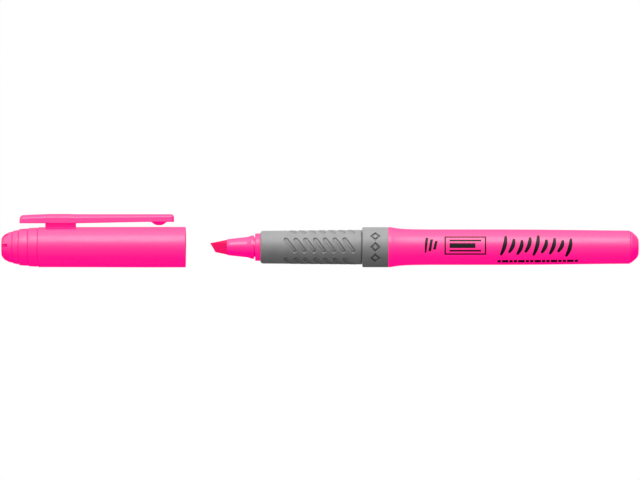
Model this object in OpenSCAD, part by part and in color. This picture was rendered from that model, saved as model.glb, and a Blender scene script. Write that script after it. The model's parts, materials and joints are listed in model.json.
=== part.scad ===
// Pocket highlighter with a chisel nib, a ribbed soft grip and a clip-on cap.
// The pen lies along X, with its nib towards -X and the cap pulled off in front of it.
// Lengths along the pen are measured from the collar's front shoulder, where the cap stops, and
// the whole object is moved at the end so that the origin is under the middle of its box.
// All sizes are in millimetres.

/* [Barrel] */
// Length from the collar's front shoulder to the rear end of the pen
rear_len = 82.25; // [70:0.25:96]
// Radius of the straight part of the barrel
body_r = 5.285; // [5.1:0.005:5.5]
// Radius where the barrel meets the collar
shoulder_r = 5.96; // [5.7:0.01:6.2]
// Radius of the barrel where the rear plug closes it
rear_r = 4.95; // [4.75:0.05:5.05]
// Length over which the shoulder's flare falls away
flare_len = 2.8; // [2:0.1:3.4]
// Radius of the bore that holds the ink reservoir's ribs
bore_r = 4.2; // [4.1:0.05:4.3]
// Length of the slim neck in front of the collar
neck_len = 31.9; // [31:0.1:36]

/* [Nib] */
// Length of the nib holder that stands out of the neck
holder_out = 8.4; // [7.5:0.1:9.5]
// Length of nib that stands out of its holder
nib_out = 5; // [4.5:0.1:5.5]
// Radius of the nib's rod
nib_r = 2.2; // [2:0.05:2.2]
// Slant of the writing edge, away from square to the pen
edge_slant = 30.6; // [20:0.1:40]
// Thickness of the writing edge
edge_t = 0.7; // [0.5:0.1:1]

/* [Grip] */
// Length of the soft sleeve
grip_len = 30.35; // [30:0.05:30.5]
// Radius of the sleeve at its front
grip_front_r = 4.87; // [4.75:0.01:4.9]
// Radius of the sleeve at the collar
grip_rear_r = 5.15; // [5:0.01:5.15]
// Width of the collar behind the sleeve
collar_w = 7.7; // [6:0.05:8]
// Outer radius of the collar
collar_r = 5.98; // [5.8:0.01:6.2]
// Number of rows of recesses round the sleeve
recess_rows = 5; // [3:1:5]
// Number of recesses along a row
recess_cols = 7; // [4:1:7]
// Depth of the recesses
recess_d = 0.3; // [0.2:0.05:0.4]

/* [Cap] */
// Length of the cap with its vented end
cap_len = 54.85; // [54.5:0.05:57]
// Outer radius of the cap at its mouth
cap_r = 6.05; // [6:0.01:6.2]
// Radius of the bore at the cap's mouth
cap_bore_r = 5.22; // [5.2:0.01:5.28]
// Gap between the cap's mouth and the nib while the cap lies beside the pen
cap_gap = 7.27; // [4:0.01:20]
// Number of air slots in the cap's end
vent_count = 6; // [4:1:8]

/* [Clip] */
// Height of the clip's top above the pen's axis
clip_top = 9.9; // [9.6:0.05:10]
// Height of the clip's underside at its post
clip_under = 7.1; // [7.05:0.05:7.4]
// Half the clip's width at its post
clip_half_w = 2.5; // [2.2:0.1:2.7]
// Half the clip's width at its tip
clip_tip_half_w = 2.1; // [1.9:0.1:2.2]

/* [Hidden] */
$fn = 96;

// Colours
pink = "#ff1f97";
deep_pink = "#f00a63";
rubber_grey = "#8b8b8b";
fibre_pink = "#ff4f9e";
film_white = "#f4ece8";
liner_white = "#f6f3f4";

// Clearances
fit = 0.02; // between pressed pieces of one body
seal = 0.05; // between the cap's pieces and the pen's

// Stations along the pen, from the collar's shoulder
neck_x = -neck_len;
grip_x = -grip_len;
mouth_x = neck_x - holder_out;
tip_x = mouth_x - nib_out;
plug_x = rear_len - 2.45;
cap_x = tip_x - cap_gap;
reservoir_x0 = -20;
reservoir_x1 = rear_len - 8;

// Radii inside the pen
neck_r = 3.9;
flange_r = 4.08;
seat_r = 4.6;
neck_bore_r = 3.2;
film_r = 3.12;
core_r = 3;
tip_r = 1.2;

// Stations along the cap, from its mouth
crown_x = 1.9 - cap_len;
bore_end_x = crown_x + 1.5;
liner_x0 = -neck_len - 15.6;
liner_x1 = -neck_len + 1.4;
clip_x0 = -49.45;
hinge_x = -32.65;
clip_x1 = -3.5;
hinge_gap = 0.06;

// The origin lies under the middle of the whole object, on the surface that it lies on
shift = [-(rear_len + cap_x - cap_len) / 2, 0, cap_r];

// Points of an arc about c, from angle a0 to a1, in n steps
function arc(c, r, a0, a1, n) =
    [for (i = [0:n]) let (a = a0 + (a1 - a0) * i / n) c + r * [cos(a), sin(a)]];

// Turns a profile of [radius, station] points about the pen's axis
module revolve() {
    rotate([0, 90, 0]) rotate_extrude() children();
}

// A plain ring from station x0 to x1
module ring(x0, x1, r_in, r_out) {
    revolve() polygon([[r_in, x0], [r_out, x0], [r_out, x1], [r_in, x1]]);
}

// A flat shape in X and Z, cut inwards from the side that faces -Y, at an angle above it
module radial_cut(elevation, r_in, r_out) {
    rotate([90 - elevation, 0, 0]) translate([0, 0, r_in])
        linear_extrude(r_out - r_in) children();
}

// Even copies round the pen's axis
module around(count, first = 0) {
    for (i = [0:count - 1]) rotate([first + i * 360 / count, 0, 0]) children();
}

// ---- Pen -------------------------------------------------------------------------------------

function flare_points() =
    [for (i = [0:9]) [body_r + (shoulder_r - body_r) * exp(-i / flare_len), collar_w + 0.9 + i]];

module barrel_profile() {
    straight_x = collar_w + 11.5;
    taper_x = rear_len / 2;
    polygon(concat(
        [
            [neck_bore_r, neck_x], [flange_r - 0.2, neck_x], [flange_r, neck_x + 0.2],
            [flange_r, grip_x - 0.15], [neck_r, grip_x], [neck_r, 1], [seat_r, 1],
            [seat_r, collar_w], [shoulder_r, collar_w],
        ],
        flare_points(),
        [
            [body_r, straight_x], [body_r, taper_x], [body_r - 0.055, taper_x + 12],
            [rear_r + 0.065, plug_x - 8.5], [rear_r, plug_x - 1.3],
        ],
        arc([rear_r - 0.3, plug_x - 0.3], 0.3, 0, 90, 5),
        [[bore_r, plug_x], [bore_r, collar_w + 2.2], [neck_bore_r, collar_w + 1]]
    ));
}

module barrel() {
    rib_t = 0.6;
    rib_tip_r = film_r + 0.04;
    rib_x0 = collar_w + 4.5;
    rib_x1 = reservoir_x1 - 0.5;
    color(pink) {
        revolve() barrel_profile();
        around(4, 45) translate([rib_x0, -rib_t / 2, rib_tip_r])
            cube([rib_x1 - rib_x0, rib_t, bore_r + 0.1 - rib_tip_r]);
    }
}

module rear_plug() {
    skirt_r = bore_r - fit;
    skirt_in_r = 3.4;
    skirt_x = reservoir_x1 + 0.2;
    dome_r = rear_r - 0.3;
    web_t = 0.7;
    color(pink) {
        revolve() polygon(concat(
            [[skirt_in_r, skirt_x], [skirt_r - 0.2, skirt_x], [skirt_r, skirt_x + 0.4]],
            [[skirt_r, plug_x], [dome_r, plug_x], [dome_r - 0.1, plug_x + 0.45]],
            arc([2.3, rear_len - 0.9], 0.9, 42, 90, 5),
            [[0, rear_len], [0, rear_len - 1.3], [skirt_in_r - 0.6, rear_len - 1.3]],
            [[skirt_in_r, rear_len - 2]]
        ));
        for (a = [0, 90]) rotate([a, 0, 0])
            translate([skirt_x, -web_t / 2, -skirt_in_r - 0.1])
                cube([rear_len - 1.2 - skirt_x, web_t, 2 * skirt_in_r + 0.2]);
    }
}

module reservoir_core() {
    hole_r = nib_r + fit;
    hole_end_x = reservoir_x0 + 7.5;
    color(fibre_pink) revolve() polygon([
        [hole_r, reservoir_x0], [core_r, reservoir_x0], [core_r, reservoir_x1],
        [0, reservoir_x1], [0, hole_end_x + 0.1], [1, hole_end_x + 0.1],
        [hole_r, hole_end_x - 1.4],
    ]);
}

module reservoir_film() {
    color(film_white) ring(reservoir_x0, reservoir_x1, core_r + 0.01, film_r);
}

module nib_holder() {
    bore = nib_r + fit;
    lip_x = neck_x - 0.3;
    spigot_r = neck_bore_r - fit;
    spigot_x = reservoir_x0 - 1;
    cone_x = mouth_x + 0.4;
    cone_len = lip_x - 1.9 - cone_x;
    color(deep_pink) difference() {
        revolve() polygon(concat(
            [[bore, mouth_x], [bore + 0.1, mouth_x]],
            [for (i = [0:5]) [2.42 + 0.64 * pow(i / 5, 0.95), cone_x + cone_len * i / 5]],
            [[3.3, lip_x - 1.2], [3.45, lip_x - 0.8], [3.5, lip_x - 0.45], [3.5, lip_x - 0.12]],
            [[3.38, lip_x]],
            [[2.9, lip_x], [2.9, neck_x], [spigot_r, neck_x], [spigot_r, spigot_x - 0.4]],
            [[spigot_r - 0.3, spigot_x], [bore, spigot_x]]
        ));
        around(3, 30) translate([lip_x + 0.1, -0.35, 2.75])
            cube([spigot_x - lip_x, 0.7, 1]);
    }
}

module nib() {
    tail_x = reservoir_x0 + 7.5;
    flat_len = 5.4;
    color(deep_pink) {
        revolve() polygon([
            [0, mouth_x], [nib_r, mouth_x], [nib_r, tail_x - 1.4], [0.9, tail_x], [0, tail_x],
        ]);
        intersection() {
            revolve() polygon([[0, tip_x - 1], [tip_r - 0.2, tip_x - 1], [nib_r, mouth_x], [0, mouth_x]]);
            translate([tip_x, 0, tip_r]) rotate([0, -edge_slant, 0])
                linear_extrude(16, center = true) polygon([
                    [0, -edge_t / 2], [flat_len, -nib_r - 0.1], [3 * flat_len, -nib_r - 0.1],
                    [3 * flat_len, nib_r + 0.1], [flat_len, nib_r + 0.1], [0, edge_t / 2],
                ]);
        }
    }
}

// Outer radius of the sleeve at a station, less a depth
function grip_r(x, depth = 0) =
    grip_rear_r + (grip_front_r - grip_rear_r) * x / grip_x - depth;

// A slot with round ends that leans from upper left to lower right
module recess_outline() {
    half = [1.25, -1.8];
    width = 1.3;
    for (s = [-1, 1]) translate(s * half) circle(d = width);
    rotate(atan2(half.y, half.x)) square([2 * norm(half), width], center = true);
}

module grip_sleeve() {
    pitch = 2.91;
    first_x = -21.45;
    first_row = 6.5;
    round_r = 0.8;
    end_x = -0.15;
    color(rubber_grey) difference() {
        revolve() polygon(concat(
            [[neck_r + fit, end_x], [neck_r + fit, grip_x]],
            arc([grip_front_r - round_r, grip_x + round_r], round_r, 270, 360, 6),
            [[grip_r(end_x - 0.2), end_x - 0.2], [grip_r(end_x, 0.12), end_x]]
        ));
        difference() {
            for (row = [0:recess_rows - 1], col = [0:recess_cols - 1])
                radial_cut(first_row + row * 360 / recess_rows, 3.5, 6)
                    translate([first_x + col * pitch, 0]) recess_outline();
            revolve() polygon([
                [0, grip_x], [grip_r(grip_x, recess_d), grip_x],
                [grip_r(0, recess_d), 0], [0, 0],
            ]);
        }
    }
}

// A diamond-shaped ring, the plain mark pressed into the collar
module diamond_outline() {
    difference() {
        scale_half(1.5) square(2, center = true);
        scale_half(0.8) square(2, center = true);
    }
}

// Stands a square of side 2 on its corner, with half diagonals of the given length
module scale_half(diagonal) {
    rotate(45) scale(diagonal / sqrt(2)) children();
}

module grip_collar() {
    chamfer = 0.4;
    mark_d = 0.35;
    step_x = 1;
    color(rubber_grey) difference() {
        revolve() polygon([
            [neck_r + 0.05, 0], [collar_r - chamfer, 0], [collar_r, chamfer],
            [collar_r, collar_w], [seat_r + fit, collar_w], [seat_r + fit, step_x],
            [neck_r + 0.05, step_x],
        ]);
        difference() {
            for (elevation = [-33, 0, 33])
                radial_cut(elevation, 5, 7) translate([collar_w / 2, 0]) diamond_outline();
            ring(-1, collar_w + 1, 0, collar_r - mark_d);
        }
    }
}

// ---- Cap, with stations from its mouth -------------------------------------------------------

// The stepped rings of the closed end, each [station of its wide end, wide radius, narrow radius]
cap_rings = [[-44.1, 5.82, 5.68], [-47.05, 5.56, 5.38], [-49.8, 5.13, 4.82], [-51.65, 4.68, 4.32]];

module cap_profile() {
    steps = len(cap_rings);
    ring_points = [
        for (i = [0:steps - 1]) let (c = cap_rings[i], end_x = i + 1 < steps ? cap_rings[i + 1][0] : crown_x)
            each [[c[1], c[0]], [c[2], end_x]],
    ];
    polygon(concat(
        [[cap_bore_r, 0], [cap_r - 0.08, 0], [cap_r, -0.15], [cap_r - 0.09, cap_rings[0][0]]],
        ring_points,
        [[3.3, crown_x], [3.3, bore_end_x], [3.9, bore_end_x], [4.5, bore_end_x + 2.6]],
        [[5, bore_end_x + 6.6], [cap_bore_r - 0.12, -31]]
    ));
}

module cap_shell() {
    post_len = 9.1;
    post_w = 3;
    color(pink) translate([cap_x, 0, 0]) {
        revolve() cap_profile();
        translate([hinge_x - 0.05 - post_len, -post_w / 2, cap_r - 0.75])
            cube([post_len, post_w, clip_under - cap_r + 0.75]);
    }
}

module cap_liner() {
    wall_r = 4.6;
    cavity_r = 3.65;
    land_x = liner_x1 - 2.3;
    rib_t = 0.7;
    rib_tip_r = 4.98;
    rib_len = 10.5;
    color(liner_white) translate([cap_x, 0, 0]) {
        revolve() polygon([
            [0, liner_x0], [wall_r - 0.8, liner_x0], [wall_r, liner_x0 + 0.8],
            [wall_r, liner_x1], [flange_r + 0.3, liner_x1], [flange_r + seal, liner_x1 - 0.3],
            [flange_r + seal, land_x], [cavity_r, land_x - 0.4], [cavity_r, liner_x0 + 1.3],
            [cavity_r - 0.5, liner_x0 + 0.8], [0, liner_x0 + 0.8],
        ]);
        around(4, 45) translate([liner_x0 + 3, -rib_t / 2, wall_r - 0.1])
            cube([rib_len, rib_t, rib_tip_r - wall_r + 0.1]);
    }
}

module cap_vent_plug() {
    core = 2.4;
    slot_w = 0.9;
    spigot_x = crown_x + 1.9;
    color(deep_pink) translate([cap_x, 0, 0]) {
        difference() {
            revolve() polygon(concat(
                [[0, -cap_len], [2.3, -cap_len]],
                arc([2.3, -cap_len + 0.5], 0.5, 285, 315, 3),
                [[4.12, crown_x - 0.15], [4.15, crown_x], [3.3 - fit, crown_x]],
                [[3.3 - fit, spigot_x - 0.3], [3, spigot_x], [0, spigot_x]]
            ));
            around(vent_count, 90 - 7) translate([-cap_len - 1, -slot_w / 2, core])
                cube([spigot_x + cap_len + 2, slot_w, 4]);
        }
        ring(spigot_x - 0.1, liner_x0, 0, 1.6);
    }
}

// Side view of the clip, in X and Z: a long flat arm whose end turns over the cap's end
module clip_side() {
    polygon(concat(
        [[clip_x0, clip_under]],
        arc([clip_x0 + 0.7, clip_top - 1.4], 0.7, 180, 98, 4),
        [[-45.5, clip_top - 0.3], [-41.9, clip_top], [-40.9, clip_top + 0.08]],
        [[-34.5, clip_top + 0.08], [-33.5, clip_top], [-10, clip_top - 0.03]],
        arc([clip_x1 - 0.95, clip_top - 0.95], 0.85, 80, 10, 4),
        [[clip_x1, clip_under + 0.41], [-13, clip_under + 0.41], [hinge_x, clip_under]]
    ));
}

// Plan view of the clip, in X and Y, narrower at its tip and with round corners
module clip_plan() {
    corner = 0.9;
    root = clip_half_w - corner;
    tip = clip_tip_half_w - corner;
    polygon(concat(
        arc([clip_x0 + corner, -root], corner, 180, 270, 6),
        arc([clip_x1 - corner, -tip], corner, 270, 360, 6),
        arc([clip_x1 - corner, tip], corner, 0, 90, 6),
        arc([clip_x0 + corner, root], corner, 90, 180, 6)
    ));
}

// Crowned section of the clip, in Y and Z
module clip_section() {
    crown_h = 1.06;
    crown_r = (pow(clip_half_w, 2) + pow(crown_h, 2)) / (2 * crown_h);
    intersection() {
        translate([-clip_half_w, 0]) square([2 * clip_half_w, 12]);
        translate([0, clip_top + 0.08 - crown_r]) circle(crown_r);
    }
    translate([-clip_half_w, 0]) square([2 * clip_half_w, clip_top - crown_h]);
}

// The clip's solid between two stations
module clip_between(x0, x1) {
    intersection() {
        rotate([90, 0, 0]) linear_extrude(12, center = true) clip_side();
        linear_extrude(12) clip_plan();
        rotate([90, 0, 90]) translate([0, 0, x0]) linear_extrude(x1 - x0) clip_section();
    }
}

module clip_root() {
    color(pink) translate([cap_x, 0, 0]) clip_between(clip_x0 - 1, hinge_x - hinge_gap / 2);
}

module clip_arm() {
    bump_x = -7.95;
    bump_r = 2.6;
    bump_low = 6.5;
    bump_w = 3;
    color(pink) translate([cap_x, 0, 0]) {
        clip_between(hinge_x + hinge_gap / 2, 0);
        intersection() {
            translate([bump_x, 0, bump_low + bump_r]) rotate([90, 0, 0])
                cylinder(r = bump_r, h = bump_w, center = true);
            translate([bump_x - 5, -5, 0]) cube([10, 10, clip_top - 1.2]);
        }
    }
}

translate(shift) {
    barrel();
    rear_plug();
    reservoir_core();
    reservoir_film();
    nib_holder();
    nib();
    grip_sleeve();
    grip_collar();
    cap_shell();
    cap_liner();
    cap_vent_plug();
    clip_root();
    clip_arm();
}
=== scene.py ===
"""The looks of the pocket highlighter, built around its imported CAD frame."""

import json
from math import atan2, cos, exp, hypot, pi, radians, sin, sqrt, tan, tau

import bmesh
import bpy
import numpy as np
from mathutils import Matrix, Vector


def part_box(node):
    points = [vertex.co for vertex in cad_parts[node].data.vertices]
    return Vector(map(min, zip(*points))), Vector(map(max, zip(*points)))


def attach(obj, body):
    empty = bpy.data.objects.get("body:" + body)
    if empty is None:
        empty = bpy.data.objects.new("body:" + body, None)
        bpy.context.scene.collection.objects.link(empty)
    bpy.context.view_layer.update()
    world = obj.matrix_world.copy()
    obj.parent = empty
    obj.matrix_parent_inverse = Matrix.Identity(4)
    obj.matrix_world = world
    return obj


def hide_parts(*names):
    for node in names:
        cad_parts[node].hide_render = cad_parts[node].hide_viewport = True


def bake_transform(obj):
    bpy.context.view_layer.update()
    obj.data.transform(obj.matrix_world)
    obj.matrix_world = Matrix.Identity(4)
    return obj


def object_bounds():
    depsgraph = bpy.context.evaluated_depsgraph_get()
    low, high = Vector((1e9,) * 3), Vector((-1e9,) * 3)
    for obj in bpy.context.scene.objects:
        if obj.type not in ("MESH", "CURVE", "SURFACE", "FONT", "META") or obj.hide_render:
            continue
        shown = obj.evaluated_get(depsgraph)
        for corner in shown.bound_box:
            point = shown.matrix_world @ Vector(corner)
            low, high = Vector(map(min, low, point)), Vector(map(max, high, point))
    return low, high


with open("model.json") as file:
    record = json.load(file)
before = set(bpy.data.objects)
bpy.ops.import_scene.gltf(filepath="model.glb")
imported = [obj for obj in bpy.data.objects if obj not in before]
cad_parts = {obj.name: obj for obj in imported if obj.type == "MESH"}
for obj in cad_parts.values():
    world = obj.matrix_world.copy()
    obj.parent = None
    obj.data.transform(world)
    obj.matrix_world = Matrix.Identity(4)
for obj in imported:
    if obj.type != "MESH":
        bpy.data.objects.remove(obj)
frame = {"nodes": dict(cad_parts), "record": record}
cad_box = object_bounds()

# ---- Datums. Stations and radii below are in millimetres: x runs along the pen, from the collar's
# front shoulder on the pen's pieces and from the cap's mouth on the cap's pieces. An elevation is
# the angle round the axis above the side that faces -Y.

MM = 0.001
collar_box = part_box("grip_collar")
PEN_X = collar_box[0].x
CAP_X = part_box("cap_shell")[1].x
AXIS_Z = (collar_box[0].z + collar_box[1].z) / 2
REAR_X = (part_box("rear_plug")[1].x - PEN_X) / MM
PLUG_X = (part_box("barrel")[1].x - PEN_X) / MM
NECK_X = (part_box("barrel")[0].x - PEN_X) / MM
TIP_X = (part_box("nib")[0].x - PEN_X) / MM
MOUTH_X = (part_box("nib_holder")[0].x - PEN_X) / MM
GRIP_X = (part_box("grip_sleeve")[0].x - PEN_X) / MM
COLLAR_W = (collar_box[1].x - PEN_X) / MM
COLLAR_R = (collar_box[1].z - AXIS_Z) / MM
CROWN_END_X = (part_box("cap_vent_plug")[0].x - CAP_X) / MM
CROWN_X = (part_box("cap_shell")[0].x - CAP_X) / MM
CAP_R = (AXIS_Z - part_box("cap_shell")[0].z) / MM
CLIP_X0 = (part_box("clip_root")[0].x - CAP_X) / MM
CLIP_X1 = (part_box("clip_arm")[1].x - CAP_X) / MM
CLIP_TOP = (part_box("clip_arm")[1].z - AXIS_Z) / MM
CLIP_HALF_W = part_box("clip_root")[1].y / MM
CLIP_UNDER = (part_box("clip_root")[0].z - AXIS_Z) / MM
HINGE_X = (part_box("clip_root")[1].x - CAP_X) / MM


# ---- Shapes ----------------------------------------------------------------------------------

def arc(x, r, radius, first, last, steps=8):
    """Points of an arc about (x, r), from one angle in degrees to another."""
    angles = np.radians(np.linspace(first, last, steps + 1))
    return [(x + radius * cos(a), r + radius * sin(a)) for a in angles]


def rounded(corners, steps=5):
    """A closed outline in which each corner with a third value has that radius."""
    points = []
    for i, corner in enumerate(corners):
        here = Vector(corner[:2])
        if len(corner) < 3:
            points.append(tuple(here))
            continue
        before = Vector(corners[i - 1][:2]) - here
        after = Vector(corners[(i + 1) % len(corners)][:2]) - here
        half = before.angle(after) / 2
        cut = min(corner[2] / tan(half), before.length * 0.49, after.length * 0.49)
        radius = cut * tan(half)
        start = here + before.normalized() * cut
        end = here + after.normalized() * cut
        centre = here + (before.normalized() + after.normalized()).normalized() * hypot(cut, radius)
        a0 = atan2(start.y - centre.y, start.x - centre.x)
        turn = (atan2(end.y - centre.y, end.x - centre.x) - a0 + pi) % tau - pi
        for k in range(steps + 1):
            a = a0 + turn * k / steps
            points.append((centre.x + radius * cos(a), centre.y + radius * sin(a)))
    return points


def around_axis(x, r, elevation):
    """The point at station x and radius r on the side at that elevation, in radians."""
    return (x, -r * cos(elevation), r * sin(elevation))


def lathe(profile, segments=144, relief=None):
    """A closed profile of (station, radius) points turned about the axis.

    relief takes a station, a radius and the elevations, and gives the radii there."""
    elevations = np.arange(segments) * tau / segments
    verts, rings = [], []
    for x, r in profile:
        start = len(verts)
        if r < 1e-6:
            verts.append((x, 0, 0))
            rings.append([start] * segments)
            continue
        radii = relief(x, r, elevations) if relief else np.full(segments, r)
        verts += [around_axis(x, radius, e) for radius, e in zip(radii, elevations)]
        rings.append(list(range(start, start + segments)))
    faces = []
    for a, b in zip(rings, rings[1:] + rings[:1]):
        for j in range(segments):
            k = (j + 1) % segments
            corners = list(dict.fromkeys((a[j], a[k], b[k], b[j])))
            if len(corners) > 2:
                faces.append(corners)
    return verts, faces


def grid_faces(rows, columns, closed_rows=False, closed_columns=False, start=0):
    """Quads between neighbours of a grid of rows by columns vertices."""
    faces = []
    for i in range(rows if closed_rows else rows - 1):
        for j in range(columns if closed_columns else columns - 1):
            i1, j1 = (i + 1) % rows, (j + 1) % columns
            faces.append([start + i * columns + j, start + i * columns + j1,
                          start + i1 * columns + j1, start + i1 * columns + j])
    return faces


def joined(*shapes):
    """Several (vertices, faces) shapes as one."""
    verts, faces = [], []
    for v, f in shapes:
        faces += [[i + len(verts) for i in face] for face in f]
        verts += list(v)
    return verts, faces


def piece(name, shape, x0, material, sharp=40):
    """A new object from a shape in millimetres, whose stations start at x0 metres."""
    verts, faces = shape
    mesh = bpy.data.meshes.new(name)
    mesh.from_pydata([(x0 + x * MM, y * MM, AXIS_Z + z * MM) for x, y, z in verts], [], faces)
    shaped = bmesh.new()
    shaped.from_mesh(mesh)
    bmesh.ops.recalc_face_normals(shaped, faces=shaped.faces)
    shaped.to_mesh(mesh)
    shaped.free()
    mesh.shade_smooth()
    mesh.set_sharp_from_angle(angle=radians(sharp))
    obj = bpy.data.objects.new(name, mesh)
    bpy.context.scene.collection.objects.link(obj)
    mesh.materials.append(material)
    return obj


def settle(obj, body, slot, *nodes):
    """The piece moves with the body and stands for the nodes, whose parts are hidden. The slot is not used.
    """
    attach(obj, body)
    if nodes:
        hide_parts(*nodes)
    return obj


def apply_modifiers(obj):
    """Makes the object's modifiers part of its mesh."""
    shown = obj.evaluated_get(bpy.context.evaluated_depsgraph_get())
    mesh = bpy.data.meshes.new_from_object(shown)
    obj.modifiers.clear()
    obj.data = mesh


def close_slivers(obj, size_mm):
    """Merges points and edges that are closer together than any real detail."""
    shaped = bmesh.new()
    shaped.from_mesh(obj.data)
    bmesh.ops.remove_doubles(shaped, verts=shaped.verts, dist=size_mm * MM)
    bmesh.ops.dissolve_degenerate(shaped, edges=shaped.edges, dist=size_mm * MM)
    shaped.to_mesh(obj.data)
    shaped.free()


def smooth_step(value, low, high):
    t = np.clip((value - low) / (high - low), 0, 1)
    return t * t * (3 - 2 * t)


# ---- Materials -------------------------------------------------------------------------------

def srgb(red, green, blue):
    """A colour in sRGB values from 0 to 255, as the linear colour that the shaders take."""
    def linear(c):
        c /= 255
        return c / 12.92 if c <= 0.04045 else ((c + 0.055) / 1.055) ** 2.4
    return (linear(red), linear(green), linear(blue), 1.0)


class Finish:
    """A Principled material, with its textures in the piece's own coordinates."""

    def __init__(self, name, **sockets):
        self.material = bpy.data.materials.new(name)
        self.material.use_nodes = True
        self.tree = self.material.node_tree
        self.shader = self.tree.nodes["Principled BSDF"]
        for socket, value in sockets.items():
            self.shader.inputs[socket.replace("_", " ")].default_value = value
        self.place = self.node("ShaderNodeTexCoord").outputs["Object"]

    def node(self, kind, **inputs):
        made = self.tree.nodes.new(kind)
        for socket, value in inputs.items():
            made.inputs[socket.replace("_", " ")].default_value = value
        return made

    def link(self, source, target):
        self.tree.links.new(source, target)

    def noise(self, size_mm, stretch=(1, 1, 1), detail=3.0):
        """Noise whose grains are about size_mm, drawn out along the axes by stretch."""
        mapping = self.node("ShaderNodeMapping", Scale=[1 / s for s in stretch])
        noise = self.node("ShaderNodeTexNoise", Scale=1 / (size_mm * MM), Detail=detail)
        self.link(self.place, mapping.inputs["Vector"])
        self.link(mapping.outputs["Vector"], noise.inputs["Vector"])
        return noise.outputs["Fac"]

    def ranged(self, value, low, high, from_low=0.3, from_high=0.7):
        made = self.node("ShaderNodeMapRange")
        made.inputs["From Min"].default_value = from_low
        made.inputs["From Max"].default_value = from_high
        made.inputs["To Min"].default_value = low
        made.inputs["To Max"].default_value = high
        self.link(value, made.inputs["Value"])
        return made.outputs["Result"]

    def colours(self, value, first, second, socket="Base Color"):
        mixed = self.node("ShaderNodeMix")
        mixed.data_type = "RGBA"
        mixed.inputs["A"].default_value = first
        mixed.inputs["B"].default_value = second
        self.link(self.ranged(value, 0, 1), mixed.inputs["Factor"])
        colour = next(o for o in mixed.outputs if o.type == "RGBA")
        self.link(colour, self.shader.inputs[socket])

    def shade_hollows(self, reach_mm):
        """Darkens the base colour where other surfaces within reach stand round a point."""
        hollow = self.node("ShaderNodeAmbientOcclusion", Distance=reach_mm * MM)
        hollow.samples = 8
        base = self.shader.inputs["Base Color"]
        self.link(base.links[0].from_socket, hollow.inputs["Color"])
        self.link(hollow.outputs["Color"], base)

    def roughness(self, value, low, high):
        self.link(self.ranged(value, low, high), self.shader.inputs["Roughness"])

    def bump(self, value, height_mm, strength=1.0):
        last = self.shader.inputs["Normal"]
        before = last.links[0].from_socket if last.links else None
        made = self.node("ShaderNodeBump", Distance=height_mm * MM, Strength=strength)
        self.link(value, made.inputs["Height"])
        if before:
            self.link(before, made.inputs["Normal"])
        self.link(made.outputs["Normal"], last)


def moulded_pink(name, first, second, glow, painted_shade_glow, shine=0.34, grain=1.0, specular=1.0):
    """Moulded pink plastic with a painted glow that stands in for its fluorescence and doesn't follow the
    light reaching it. The glow dims where other surfaces stand close: painted shade.
    """
    finish = Finish(name, Specular_IOR_Level=specular)
    # Painted glow: the emission colour and strength make the plastic glow though it is no lamp.
    finish.shader.inputs["Emission Color"].default_value = (1, 0, 0.245, 1)
    # Painted shade: the glow falls to its lower level where other surfaces stand within 2.5 mm.
    painted_shade_cover = finish.node("ShaderNodeAmbientOcclusion", Distance=2.5 * MM)
    painted_shade_cover.samples = 8
    finish.link(finish.ranged(painted_shade_cover.outputs["AO"], painted_shade_glow, glow, 0, 1),
                finish.shader.inputs["Emission Strength"])
    finish.colours(finish.noise(6, stretch=(4, 1, 1)), first, second)
    finish.roughness(finish.noise(0.9, stretch=(6, 1, 1)), shine - 0.04 * grain, shine + 0.05 * grain)
    finish.bump(finish.noise(1.6, stretch=(2, 1, 1)), 0.01, 0.4 * grain)
    finish.bump(finish.noise(0.12), 0.002, 0.5 * grain)
    return finish.material


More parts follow.
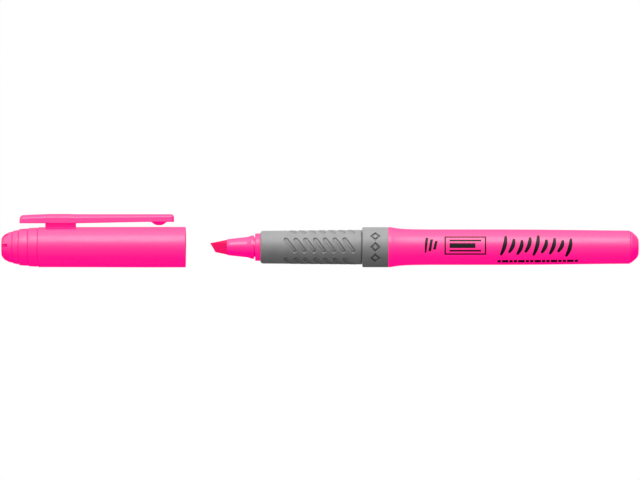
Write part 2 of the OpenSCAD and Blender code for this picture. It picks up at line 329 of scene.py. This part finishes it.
def make_materials():
    made = {}
    # Every pink below has a painted glow. The bore copy and the shaded copy are darker copies of the
    # plastic: painted shade for the cap's bore, and for its post, groove floors, end slots and the clip's
    # underside.
    made["pink"] = moulded_pink("fluorescent_pink_painted_glow", srgb(112, 2, 44), srgb(120, 3, 48), 1.0, 0.55)
    made["inside"] = moulded_pink("cap_bore_painted_shade", srgb(104, 1, 40), srgb(112, 2, 44), 0.42, 0.12, 0.45)
    made["shaded"] = moulded_pink("shaded_plastic", srgb(108, 1, 42), srgb(116, 2, 46), 1.1, 0.5, 0.4,
                                  specular=0.3)
    made["nose"] = moulded_pink("nose_plastic", srgb(112, 2, 44), srgb(120, 3, 48), 1.0, 0.45, 0.2, 0.03)
    made["crown"] = moulded_pink("cap_end_plastic", srgb(108, 2, 42), srgb(116, 3, 46), 0.96, 0.6, 0.4)

    rubber = Finish("grip_rubber", Specular_IOR_Level=0.8, Sheen_Weight=0.6, Sheen_Roughness=0.35)
    rubber.shader.inputs["Sheen Tint"].default_value = (0.8, 0.8, 0.8, 1)
    rubber.colours(rubber.noise(2.5), srgb(125, 125, 125), srgb(132, 132, 132))
    rubber.shade_hollows(0.9)
    rubber.roughness(rubber.noise(0.6), 0.44, 0.56)
    rubber.bump(rubber.noise(0.16, detail=4), 0.012, 0.6)
    made["rubber"] = rubber.material

    # The felt glows though it is no lamp: a painted glow, with its emission colour streaked along the
    # fibres.
    felt = Finish("nib_felt", Specular_IOR_Level=0.25, Emission_Strength=0.85)
    felt.colours(felt.noise(0.5, stretch=(5, 1, 1)), srgb(90, 1, 24), srgb(150, 4, 48))
    felt.colours(felt.noise(0.45, stretch=(7, 1, 1)), (0.74, 0, 0.15, 1), (1, 0, 0.11, 1), "Emission Color")
    felt.roughness(felt.noise(0.3, stretch=(4, 1, 1)), 0.6, 0.85)
    felt.bump(felt.noise(0.14, stretch=(8, 1, 1), detail=4), 0.03, 0.8)
    made["felt"] = felt.material

    fibre = Finish("reservoir_fibre", Specular_IOR_Level=0.3)
    fibre.colours(fibre.noise(0.4, stretch=(12, 1, 1)), srgb(250, 80, 160), srgb(255, 120, 185))
    fibre.roughness(fibre.noise(0.3, stretch=(8, 1, 1)), 0.7, 0.9)
    fibre.bump(fibre.noise(0.12, stretch=(12, 1, 1)), 0.03, 0.8)
    made["fibre"] = fibre.material

    film = Finish("wrapping_film", Specular_IOR_Level=0.5)
    film.colours(film.noise(8), srgb(244, 232, 236), srgb(238, 222, 228))
    film.roughness(film.noise(1.5), 0.15, 0.3)
    film.bump(film.noise(2, stretch=(3, 1, 1)), 0.02, 0.5)
    made["film"] = film.material

    liner = Finish("liner_polyethylene", Specular_IOR_Level=0.45)
    liner.colours(liner.noise(3), srgb(240, 236, 238), srgb(232, 226, 230))
    liner.roughness(liner.noise(0.8), 0.4, 0.55)
    liner.bump(liner.noise(0.4), 0.006, 0.5)
    made["liner"] = liner.material

    ink = Finish("printed_ink", Specular_IOR_Level=0.25)
    ink.colours(ink.noise(0.5), srgb(8, 2, 8), srgb(26, 10, 22))
    ink.roughness(ink.noise(0.3), 0.34, 0.46)
    ink.bump(ink.noise(0.15), 0.004, 0.5)
    made["ink"] = ink.material
    return made


looks = make_materials()


# ---- Pen -------------------------------------------------------------------------------------

BARREL_R = frame["record"]["mounts"][0]["dims"]["r_mm"]
SHOULDER_R = COLLAR_R - 0.02
REAR_R = 4.95
FLARE_X = COLLAR_W + 0.9
FLARE_LEN = 2.8
NECK_BORE_R = 3.2


def barrel_r(x):
    """Radius of the barrel behind the collar's plateau."""
    if x < FLARE_X + 9:
        return BARREL_R + (SHOULDER_R - BARREL_R) * exp((FLARE_X - x) / FLARE_LEN)
    return np.interp(x, [REAR_X / 2, REAR_X / 2 + 12, PLUG_X - 8.5, PLUG_X - 1.3],
                     [BARREL_R, BARREL_R - 0.055, REAR_R + 0.065, REAR_R])


def make_barrel():
    flange_r = 4.08
    neck_r = 3.9
    seat_r = 4.6
    bore_r = 4.2
    stations = np.concatenate([
        np.arange(FLARE_X + 0.4, FLARE_X + 9, 0.4), np.arange(FLARE_X + 11, PLUG_X - 1.3, 3)])
    profile = rounded([
        (NECK_X, NECK_BORE_R, 0.1), (NECK_X, flange_r, 0.3), (GRIP_X - 0.02, flange_r, 0.18),
        (GRIP_X - 0.02, neck_r), (1, neck_r), (1, seat_r), (COLLAR_W, seat_r),
        (COLLAR_W, SHOULDER_R, 0.08), (FLARE_X, SHOULDER_R, 0.5),
        *[(x, float(barrel_r(x))) for x in stations],
        (PLUG_X, REAR_R, 0.32), (PLUG_X, bore_r), (COLLAR_W + 2.2, bore_r),
        (COLLAR_W + 1, NECK_BORE_R),
    ])
    settle(piece("barrel_moulding", lathe(profile, 192), PEN_X, looks["pink"]),
           "pen", "pink_plastic", "barrel")


def make_rear_plug():
    skirt_r = 4.18
    skirt_in_r = 3.4
    dimple_r = 0.7
    profile = rounded([
        (REAR_X - 7.8, skirt_in_r), (REAR_X - 7.8, skirt_r, 0.2), (PLUG_X, skirt_r),
        (PLUG_X, REAR_R - 0.22, 0.08), (PLUG_X + 0.5, REAR_R - 0.4, 0.9), (REAR_X - 0.5, 3.25, 1.6),
        (REAR_X, 2.3, 0.5), (REAR_X, dimple_r + 0.15, 0.08), (REAR_X - 0.12, dimple_r, 0.08),
        (REAR_X - 0.12, 0), (REAR_X - 1.3, 0), (REAR_X - 1.3, 2.8), (REAR_X - 2, skirt_in_r),
    ])
    settle(piece("rear_plug_moulding", lathe(profile, 160), PEN_X, looks["pink"]),
           "pen", "pink_plastic", "rear_plug")


ROD_R = 2.2


def make_nose_cone():
    """The nib's holder: a slim cone that flares into a lip in front of the neck."""
    bore_r = ROD_R + 0.02
    lip_r = 3.5
    lip_x = NECK_X - 0.3
    cone_x = MOUTH_X + 0.4
    cone_end = lip_x - 1.9
    spigot_r = NECK_BORE_R - 0.02
    spigot_x = NECK_X + 11
    cone = [(cone_x + (cone_end - cone_x) * t, 2.42 + 0.64 * t ** 0.95) for t in np.linspace(0.05, 1, 14)]
    profile = rounded([
        (MOUTH_X, bore_r, 0.03), (MOUTH_X, bore_r + 0.1, 0.05), *cone, (lip_x - 1.2, 3.3, 0.6),
        (lip_x - 0.8, lip_r - 0.04, 0.3), (lip_x, lip_r, 0.16), (lip_x, 2.9), (NECK_X, 2.9),
        (NECK_X, spigot_r), (spigot_x, spigot_r, 0.3), (spigot_x, bore_r),
    ])
    settle(piece("nose_cone", lathe(profile, 160), PEN_X, looks["nose"]),
           "pen", "nose_plastic", "nib_holder")


def make_nib():
    """A rod tapered to a slanted chisel edge, cut from three sides."""
    front_r = 1.2
    edge_t = 0.7
    flat_len = 5.4
    slant = radians(30.6)
    tail_x = NECK_X + 19.4
    taper = (ROD_R - front_r) / (MOUTH_X - TIP_X)
    profile = rounded([
        (TIP_X - 1, 0), (TIP_X - 1, front_r - taper), (MOUTH_X, ROD_R), (tail_x - 1.4, ROD_R, 0.3),
        (tail_x, 0.9, 0.2), (tail_x, 0),
    ])
    obj = piece("chisel_nib", lathe(profile, 96), PEN_X, looks["felt"])
    edge = Vector((PEN_X + TIP_X * MM, 0, AXIS_Z + front_r * MM))
    along = Vector((cos(slant), 0, sin(slant)))
    lean = (ROD_R + 0.1 - edge_t / 2) / flat_len
    cuts = [(edge, -along)]
    for side in (-1, 1):
        at = edge + Vector((0, side * edge_t / 2 * MM, 0))
        cuts.append((at, Vector((-along.x * lean, side, -along.z * lean)).normalized()))
    shaped = bmesh.new()
    shaped.from_mesh(obj.data)
    for at, normal in cuts:
        everything = shaped.verts[:] + shaped.edges[:] + shaped.faces[:]
        cut = bmesh.ops.bisect_plane(shaped, geom=everything, plane_co=at, plane_no=normal,
                                     clear_outer=True, dist=1e-9)
        rim = [e for e in cut["geom_cut"] if isinstance(e, bmesh.types.BMEdge)]
        bmesh.ops.contextual_create(shaped, geom=rim)
    shaped.to_mesh(obj.data)
    shaped.free()
    bevel = obj.modifiers.new("soft edges", "BEVEL")
    bevel.width = 0.08 * MM
    bevel.segments = 4
    bevel.limit_method = "ANGLE"
    bevel.angle_limit = radians(12)
    bevel.use_clamp_overlap = True
    apply_modifiers(obj)
    obj.data.shade_smooth()
    obj.data.set_sharp_from_angle(angle=radians(30))
    settle(obj, "pen", "nib_fibre", "nib")


def make_grip_sleeve():
    """The soft sleeve, with rows of slanted recesses pressed into it."""
    front_r, rear_r = 4.87, 5.15
    rows, columns = 5, 7
    first_row = radians(6.5)
    first_x = -21.45
    pitch = 2.91
    half = np.array([1.25, -1.76])
    half_w = 0.6
    depth = 0.34
    wall = 0.12
    end_x = -0.02
    inner_r = 3.92
    round_r = 0.8

    def relief(x, r, elevations):
        radii = np.full(len(elevations), r)
        if r < front_r - 0.1:
            return radii
        distance = np.full(len(elevations), 9.0)
        for row in range(rows):
            centre = first_row + row * tau / rows
            across = ((elevations - centre + pi) % tau - pi) * 5.05
            for column in range(columns):
                along = x - (first_x + column * pitch)
                if abs(along) > 3:
                    continue
                share = np.clip((along * half[0] + across * half[1]) / (half @ half), -1, 1)
                away = np.hypot(along - share * half[0], across - share * half[1]) - half_w
                distance = np.minimum(distance, away)
        pressed = 1 - smooth_step(distance, -wall, wall)
        swell = np.clip(-distance / half_w, 0, 1) ** 1.5 * 0.35
        rim = 0.045 * np.exp(-((distance - 0.2) / 0.16) ** 2)
        return radii - depth * pressed * (1 - swell) + rim

    outer = [(x, float(np.interp(x, [GRIP_X, end_x], [front_r, rear_r])))
             for x in np.arange(GRIP_X + round_r + 0.1, end_x - 0.3, 0.115)]
    profile = [(GRIP_X, inner_r)]
    profile += arc(GRIP_X + round_r, front_r - round_r, round_r, 180, 90, 9)
    profile += outer
    profile += arc(end_x - 0.3, rear_r - 0.24, 0.24, 90, 0, 6)
    profile.append((end_x, rear_r - 0.3))
    profile.append((end_x, inner_r))
    settle(piece("soft_grip_sleeve", lathe(profile, 300, relief), PEN_X, looks["rubber"], 60),
           "pen", "grip_rubber", "grip_sleeve")


def make_grip_collar():
    """The wider ring behind the sleeve, with three diamond outlines pressed into it."""
    outer_half, inner_half = 1.5, 0.8
    depth = 0.42
    wall = 0.04
    seat_r = 4.62
    inner_r = 3.95

    def relief(x, r, elevations):
        radii = np.full(len(elevations), r)
        if r < COLLAR_R - 0.01:
            return radii
        distance = np.full(len(elevations), 9.0)
        for elevation in (-33, 0, 33):
            across = ((elevations - radians(elevation) + pi) % tau - pi) * COLLAR_R
            reach = abs(x - COLLAR_W / 2) + np.abs(across)
            away = np.maximum(reach - outer_half, inner_half - reach) / sqrt(2)
            distance = np.minimum(distance, away)
        return radii - depth * (1 - smooth_step(distance, -wall, wall))

    outer = [(x, COLLAR_R) for x in np.arange(0.65, COLLAR_W - 0.25, 0.07)]
    front = rounded([(0, inner_r), (0, COLLAR_R - 0.26, 0.08), (0.2, COLLAR_R, 0.16), (0.55, COLLAR_R)])
    rear = rounded([(COLLAR_W - 0.2, COLLAR_R), (COLLAR_W, COLLAR_R, 0.06), (COLLAR_W, seat_r)])
    profile = front[:-1] + outer + rear[1:] + [(1, seat_r), (1, inner_r)]
    settle(piece("grip_collar_ring", lathe(profile, 520, relief), PEN_X, looks["rubber"], 60),
           "pen", "collar_rubber", "grip_collar")


# ---- Printing on the barrel: marks of ink that follow its surface ------------------------------

def ink_patch(rows):
    """A patch of ink from rows of (station, arc) points, with arc measured up from the side."""
    below, above = -0.02, 0.014
    columns = len(rows[0])
    verts = []
    for lift in (below, above):
        for row in rows:
            for x, s in row:
                r = float(barrel_r(x))
                verts.append(around_axis(x, r + lift, s / BARREL_R))
    count = len(rows) * columns
    faces = grid_faces(len(rows), columns) + grid_faces(len(rows), columns, start=count)
    rim = list(range(columns))
    rim += [i * columns + columns - 1 for i in range(1, len(rows))]
    rim += [(len(rows) - 1) * columns + j for j in range(columns - 2, -1, -1)]
    rim += [i * columns for i in range(len(rows) - 2, 0, -1)]
    faces += [[a, b, b + count, a + count] for a, b in zip(rim, rim[1:] + rim[:1])]
    return verts, faces


def ink_block(x0, x1, s0, s1, lean=0.0):
    """A four-sided block of ink whose top stands lean further back than its foot."""
    across = np.linspace(s0, s1, max(2, int(abs(s1 - s0) / 0.15) + 1))
    along = np.linspace(0, 1, max(2, int((x1 - x0) / 0.5) + 1))
    return ink_patch([[(x0 + (x1 - x0) * t + lean * (s - s0) / (s1 - s0), s) for t in along]
                      for s in across])


def ink_stroke(path, widths):
    """A pen stroke along (station, arc) points, with a width at each of them."""
    path = np.array(path)
    ahead = np.gradient(path, axis=0)
    ahead /= np.linalg.norm(ahead, axis=1)[:, None]
    aside = np.stack([-ahead[:, 1], ahead[:, 0]], axis=1)
    return ink_patch([[tuple(p + n * w * t) for t in (-0.5, -0.17, 0.17, 0.5)]
                      for p, n, w in zip(path, aside, widths)])


def make_printing():
    def settle_ink(name, shapes):
        settle(piece(name, joined(*shapes), PEN_X, looks["ink"], 30), "pen", "pink_plastic")

    # Three slanted bars, each shorter than the one before
    settle_ink("print_bars", [
        ink_block(18.2 + 1.4 * i, 19.0 + 1.4 * i, -1.7 + 0.5 * i, 2.9 - 0.5 * i, 0.6) for i in range(3)])

    # A page with a ruled margin and lines on it, one of them heavy
    x0, x1, s0, s1, line = 24.4, 36.8, -2.3, 3.4, 0.42
    foot, head, gap = s0 + line, s1 - line, 0.01
    page = [ink_block(x0, x1, s0, foot), ink_block(x0, x1, head, s1)]
    for x in (x0, x1 - line):
        page.append(ink_block(x, x + line, foot + gap, head - gap))
    for s, height, end in ((1.75, 0.55, 10.9), (-0.25, 1.45, 9.2), (-1.3, 0.5, 10.9)):
        page.append(ink_block(x0 + 1.5, x0 + end, s, s + height))
    settle_ink("print_page", page)

    # Slanted brush strokes of different lengths, thickest in the middle
    strokes = []
    t = np.linspace(0, 1, 24)
    for i, (foot, head) in enumerate([(-2.5, 3.6), (-1.7, 2.6), (-2.3, 2.2), (-1.6, 3.1), (-2.6, 3.9),
                                      (-1.8, 2.4), (-2.2, 2.9), (-1.5, 2.2), (-3.0, 2.8)]):
        x = 41.1 + 2.42 * i
        path = np.stack([x + 1.5 * t + 0.45 * np.sin(pi * t), foot + (head - foot) * t], axis=1)
        strokes.append(ink_stroke(path, 0.35 + 0.85 * np.sin(pi * (0.08 + 0.84 * t)) ** 0.8))
    settle_ink("print_strokes", strokes)

    # A row of small blocks, of which every third is long
    blocks, x = [], 40.2
    for i in range(15):
        length = 1.9 if i % 3 == 1 else 0.95
        blocks.append(ink_block(x, x + length, -5.45, -4.3))
        x += length + 0.35
    settle_ink("print_blocks", blocks)


# ---- Cap -------------------------------------------------------------------------------------

# The steps of the cap's closed end: where each begins, and its radii at its two ends
CAP_RINGS = [(-43.9, 5.82, 5.68), (-46.85, 5.56, 5.38), (-49.6, 5.13, 4.82), (-51.45, 4.68, 4.32)]


def post_shape():
    """The block that carries the clip, flared a little where it meets the cap."""
    x0, x1, half_w, corner = HINGE_X - 9.12, HINGE_X - 0.02, 1.5, 0.35
    flare, flare_share = 0.22, 0.28
    sink = 0.12
    outline = []
    for cx, cy, first in ((x1 - corner, half_w - corner, 0), (x0 + corner, half_w - corner, 90),
                          (x0 + corner, corner - half_w, 180), (x1 - corner, corner - half_w, 270)):
        outline += [(cx, cy, radians(first + 90 * k / 6)) for k in range(7)]
    heights = [0.0, 0.04, 0.1, 0.18, flare_share, 0.45, 0.7, 1.0]
    verts = []
    for share in heights:
        spread = flare * (1 - sqrt(1 - max(0.0, 1 - share / flare_share) ** 2))
        for cx, cy, a in outline:
            x, y = cx + (corner + spread) * cos(a), cy + (corner + spread) * sin(a)
            foot = sqrt((CAP_R - 0.1) ** 2 - y * y) - sink
            verts.append((x, y, foot + (CLIP_UNDER + sink - foot) * share))
    faces = grid_faces(len(heights), len(outline), closed_columns=True)
    faces.append(list(range(len(outline))))
    faces.append([len(verts) - 1 - i for i in range(len(outline))])
    return verts, faces


def make_cap():
    bore_r = 5.22
    groove_w, groove_d = 0.24, 0.14
    profile = [(0, bore_r, 0.15), (0, CAP_R - 0.02, 0.14), (-12, CAP_R - 0.01), (-26, CAP_R - 0.05)]
    wide_end = CAP_R - 0.09
    for i, (x, wide, narrow) in enumerate(CAP_RINGS):
        end_x = CAP_RINGS[i + 1][0] if i < 3 else CROWN_X
        floor_r = wide - groove_d
        profile += [(x, wide_end, 0.06), (x, floor_r), (x - groove_w, floor_r), (x - groove_w, wide, 0.05)]
        profile.append(((x + end_x) / 2, (wide + narrow) / 2 + 0.03))
        wide_end = narrow
    profile += [(CROWN_X, CAP_RINGS[-1][2], 0.1), (CROWN_X, 3.3), (CROWN_X + 1.5, 3.3),
                (CROWN_X + 1.5, 3.9), (CROWN_X + 4.1, 4.5, 1), (CROWN_X + 8.1, 5, 2), (-31, bore_r - 0.12)]
    turned = lathe(rounded(profile), 192)
    cap = piece("cap_moulding", joined(turned, post_shape()), CAP_X, looks["pink"])
    cap.data.materials.append(looks["inside"])
    cap.data.materials.append(looks["shaded"])
    # The bore, the post and the floors of the grooves between the steps get darker copies of the plastic:
    # painted shade.
    for face in cap.data.polygons:
        outwards = Vector((0, face.center.y, face.center.z - AXIS_Z))
        x, r = (face.center.x - CAP_X) / MM, outwards.length / MM
        in_groove = any(ring_x - groove_w < x < ring_x and wide - groove_d - 0.01 < r < wide - 0.05
                        for ring_x, wide, _ in CAP_RINGS)
        if face.index >= len(turned[1]) or in_groove:
            face.material_index = 2
        elif r < bore_r + 0.1 and face.normal.dot(outwards) < 0:
            face.material_index = 1
    settle(cap, "cap", "pink_plastic", "cap_shell")


def make_crown():
    """The cap's vented end: a castellated plug, with slots cut into its rim."""
    slots = 6
    first = radians(7)
    core_r, slot_w = 2.5, 1.05
    spigot_x = CROWN_X + 1.9
    profile = rounded([
        (CROWN_END_X, 0), (CROWN_END_X, 2.5, 0.4), (CROWN_END_X + 0.35, 3.15, 0.5),
        (CROWN_END_X + 0.95, 3.75, 0.6), (CROWN_X - 0.12, 4.2, 0.12), (CROWN_X, 4.2),
        (CROWN_X, 3.28), (spigot_x, 3.28, 0.25),
        (spigot_x, 1.6), (-47.65, 1.6, 0.2), (-47.65, 0),
    ], 4)
    obj = piece("cap_end_crown", lathe(profile, 120), CAP_X, looks["crown"])
    verts, faces = [], []
    for i in range(slots):
        e = first + i * tau / slots
        out, side = Vector((0, -cos(e), sin(e))), Vector((0, sin(e), cos(e)))
        corners = [Vector((x, 0, 0)) + out * r + side * w
                   for x in (CROWN_END_X - 1, spigot_x + 1)
                   for r in (core_r, 6) for w in (-slot_w / 2, slot_w / 2)]
        faces += [[8 * i + k for k in f] for f in
                  ((0, 1, 3, 2), (4, 6, 7, 5), (0, 4, 5, 1), (2, 3, 7, 6), (0, 2, 6, 4), (1, 5, 7, 3))]
        verts += corners
    # The slot faces take the darker shaded copy of the plastic from the cutter: painted shade.
    cutter = piece("slot_cutter", (verts, faces), CAP_X, looks["shaded"])
    cut = obj.modifiers.new("slots", "BOOLEAN")
    cut.object = cutter
    cut.operation = "DIFFERENCE"
    cut.solver = "EXACT"
    cut.material_mode = "TRANSFER"
    apply_modifiers(obj)
    close_slivers(obj, 0.03)
    bpy.data.objects.remove(cutter)
    bevel = obj.modifiers.new("soft edges", "BEVEL")
    bevel.width = 0.07 * MM
    bevel.segments = 2
    bevel.limit_method = "ANGLE"
    bevel.angle_limit = radians(35)
    apply_modifiers(obj)
    close_slivers(obj, 0.006)
    obj.data.shade_smooth()
    obj.data.set_sharp_from_angle(angle=radians(40))
    settle(obj, "cap", "cap_end_plastic", "cap_vent_plug")


def make_clip():
    """The pocket clip, in one piece from where it leaves its post to its tip."""
    tip_half_w = 2.1
    corner = 0.9
    crown_h = 1.06
    crown_r = (CLIP_HALF_W ** 2 + crown_h ** 2) / (2 * crown_h)
    bump_x, bump_half_len, bump_low, bump_half_w = -7.95, 2.3, 6.5, 1.5

    def half_width(x):
        w = np.interp(x, [HINGE_X, CLIP_X1], [CLIP_HALF_W, tip_half_w])
        inset = corner - min(corner, x - CLIP_X0, CLIP_X1 - x)
        return w - corner + sqrt(max(0.0, corner ** 2 - inset ** 2))

    def top(x):
        hump = 0.08 * smooth_step(x, -42.4, -40.4) * (1 - smooth_step(x, -35.0, -33.0))
        z = CLIP_TOP - 0.08 + hump - 0.35 * (1 - smooth_step(x, CLIP_X0 - 3, -41.5))
        reach = 1.15
        left = max(0.0, CLIP_X0 + reach - x)
        right = max(0.0, x - CLIP_X1 + 0.85)
        z -= (reach - sqrt(max(0.0, reach ** 2 - left ** 2))) * 0.9
        return z - (0.85 - sqrt(max(0.0, 0.85 ** 2 - right ** 2)))

    def under(x):
        return float(np.interp(x, [HINGE_X, -13], [CLIP_UNDER, CLIP_UNDER + 0.41]))

    def drop(x, y):
        """How far the bump under the tip hangs down at a point."""
        away = min(1.0, abs(x - bump_x) / bump_half_len)
        hang = (under(bump_x) - bump_low) * (1 - away ** 2.4) ** 1.15
        return hang * float(1 - smooth_step(abs(y), bump_half_w - 0.35, bump_half_w + 0.1))

    ends = corner * (1 - np.cos(np.linspace(0, pi / 2, 12)))
    stations = np.concatenate([
        CLIP_X0 + ends, np.arange(CLIP_X0 + 1.3, -11.2, 0.7), np.arange(-11.1, -5.2, 0.12),
        np.arange(-5.1, CLIP_X1 - corner - 0.1, 0.2), (CLIP_X1 - ends)[::-1]])
    side, across, lean = 0.3, 22, 0.14
    rows = []
    for x in stations:
        w, high, low = half_width(x), top(x), under(x)
        row = []
        for t in np.linspace(-1, 1, across + 1):
            y = (w - lean) * sin(t * pi / 2)
            z = high + sqrt(crown_r ** 2 - y * y) - crown_r
            edge = max(0.0, abs(y) - (w - lean - side)) / side
            row.append((x, y, max(low + 0.3, z - side * (1 - sqrt(max(0.0, 1 - edge ** 2))))))
        for t in (0.25, 0.5, 0.75):
            row.append((x, w - lean * (1 - t), row[across][2] * (1 - t) + (low + 0.15) * t))
        for t in np.linspace(1, -1, across + 1):
            y = w * t
            edge = max(0.0, abs(y) - (w - 0.15)) / 0.15
            row.append((x, y, low + 0.15 * (1 - sqrt(max(0.0, 1 - edge ** 2))) - drop(x, y)))
        for t in (0.75, 0.5, 0.25):
            row.append((x, lean * (1 - t) - w, row[0][2] * (1 - t) + (low + 0.15) * t))
        rows.append(row)
    columns = len(rows[0])
    verts = [v for row in rows for v in row]
    faces = grid_faces(len(rows), columns, closed_columns=True)
    faces.append(list(range(columns)))
    faces.append([len(verts) - 1 - i for i in range(columns)])
    obj = piece("pocket_clip", (verts, faces), CAP_X, looks["pink"], 50)
    obj.data.materials.append(looks["shaded"])
    # The clip's underside gets the darker shaded copy too: painted shade.
    for face in obj.data.polygons:
        if face.normal.z < -0.2:
            face.material_index = 1
    obj.visible_glossy = False
    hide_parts("clip_root", "clip_arm")
    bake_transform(obj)


# ---- Stage -----------------------------------------------------------------------------------

def make_stage(name, shape):
    """Part of the plain white surroundings, which neither lights nor shades the object."""
    verts, faces = shape
    mesh = bpy.data.meshes.new(name)
    mesh.from_pydata(verts, [], faces)
    obj = bpy.data.objects.new(name, mesh)
    bpy.context.scene.collection.objects.link(obj)
    finish = Finish(name, Roughness=0.9, Specular_IOR_Level=0.0, Emission_Strength=1.0)
    finish.shader.inputs["Emission Color"].default_value = (1, 1, 1, 1)
    finish.colours(finish.noise(400), srgb(3, 3, 3), srgb(5, 5, 5))
    mesh.materials.append(finish.material)
    obj.visible_diffuse = False
    obj.visible_glossy = False
    obj.visible_shadow = False


def make_surroundings():
    half = 8.0
    corners = [(-half, -half, 0), (half, -half, 0), (half, half, 0), (-half, half, 0)]
    make_stage("floor", (corners, [(0, 1, 2, 3)]))
    segments, rows, radius = 48, 12, 10.0
    dome = []
    for i in range(rows + 1):
        e = radians(-3 + 90 * i / rows)
        dome += [(radius * cos(e) * cos(a), radius * cos(e) * sin(a), radius * sin(e))
                 for a in np.arange(segments) * tau / segments]
    make_stage("backdrop", (dome, grid_faces(rows + 1, segments, closed_columns=True)))


def make_sun(name, strength, spread, elevation, azimuth):
    """Soft light from a wide part of the sky; azimuth 0 is the side that faces -Y."""
    light = bpy.data.lights.new(name, "SUN")
    light.energy = strength
    light.angle = radians(spread)
    lamp = bpy.data.objects.new(name, light)
    e, a = radians(elevation), radians(azimuth)
    towards = Vector((sin(a) * cos(e), -cos(a) * cos(e), sin(e)))
    lamp.rotation_euler = towards.to_track_quat("Z", "Y").to_euler()
    bpy.context.scene.collection.objects.link(lamp)
    return lamp


def make_world():
    """Studio light that changes round the pen: level is its strength at each angle round the X
    axis, from 0 straight ahead of the side that faces -Y, over the top at 90, to 180 behind.
    It falls off beyond the rear end."""
    levels = [(-180, 0.1), (-150, 0.02), (-115, 0.01), (-85, 0.006), (-70, 0.016), (-55, 0.09), (-35, 0.25),
              (-14, 0.37), (0, 0.52), (14, 0.85), (28, 1.5), (50, 1.75), (74, 2.1), (92, 1.95), (114, 1.32),
              (138, 0.65), (160, 0.6), (180, 0.3)]
    strength = 2.5
    world = bpy.data.worlds.new("studio")
    bpy.context.scene.world = world
    world.use_nodes = True
    tree = world.node_tree
    place = tree.nodes.new("ShaderNodeTexCoord")
    split = tree.nodes.new("ShaderNodeSeparateXYZ")
    front = tree.nodes.new("ShaderNodeMath")
    front.operation = "MULTIPLY"
    front.inputs[1].default_value = -1
    angle = tree.nodes.new("ShaderNodeMath")
    angle.operation = "ARCTAN2"
    span = tree.nodes.new("ShaderNodeMapRange")
    span.inputs["From Min"].default_value = -pi
    span.inputs["From Max"].default_value = pi
    ramp = tree.nodes.new("ShaderNodeValToRGB")
    tree.links.new(place.outputs["Generated"], split.inputs["Vector"])
    tree.links.new(split.outputs["Y"], front.inputs[0])
    tree.links.new(split.outputs["Z"], angle.inputs[0])
    tree.links.new(front.outputs["Value"], angle.inputs[1])
    tree.links.new(angle.outputs["Value"], span.inputs["Value"])
    tree.links.new(span.outputs["Result"], ramp.inputs["Fac"])
    tree.links.new(ramp.outputs["Color"], tree.nodes["Background"].inputs["Color"])
    beyond = tree.nodes.new("ShaderNodeMapRange")
    beyond.inputs["From Min"].default_value = 0.5
    beyond.inputs["From Max"].default_value = 0.9
    beyond.inputs["To Min"].default_value = strength
    beyond.inputs["To Max"].default_value = strength * 0.35
    tree.links.new(split.outputs["X"], beyond.inputs["Value"])
    tree.links.new(beyond.outputs["Result"], tree.nodes["Background"].inputs["Strength"])
    stops = ramp.color_ramp.elements
    while len(stops) < len(levels):
        stops.new(0.5)
    for stop, (degrees, level) in zip(stops, levels):
        stop.position = (degrees + 180) / 360
        stop.color = (level / strength, level / strength, level / strength, 1)


def make_camera():
    """A long lens looking straight at the pen's side."""
    distance = 2.0
    seen_width = 190.6 * MM
    above_axis = 2.13 * MM
    data = bpy.data.cameras.new("camera")
    data.sensor_width = 36
    data.lens = data.sensor_width * distance / seen_width
    data.clip_start = 0.1
    data.clip_end = 60
    camera = bpy.data.objects.new("camera", data)
    middle = (cad_box[0] + cad_box[1]) / 2
    camera.location = (middle.x, -distance, AXIS_Z + above_axis)
    camera.rotation_euler = (pi / 2, 0, 0)
    bpy.context.scene.collection.objects.link(camera)
    bpy.context.scene.camera = camera


make_camera()
make_surroundings()
make_world()
make_sun("key", 0.92, 38, 50, 0)
make_sun("floor_bounce", 0.85, 60, -80, 180).visible_glossy = False
bpy.context.scene.view_settings.view_transform = "Standard"

make_barrel()
make_rear_plug()
make_nose_cone()
make_nib()
make_grip_sleeve()
make_grip_collar()
make_printing()
make_cap()
make_crown()
make_clip()

for node, look in (("reservoir_core", "fibre"), ("reservoir_film", "film"), ("cap_liner", "liner")):
    frame["nodes"][node].data.materials.clear()
    frame["nodes"][node].data.materials.append(looks[look])
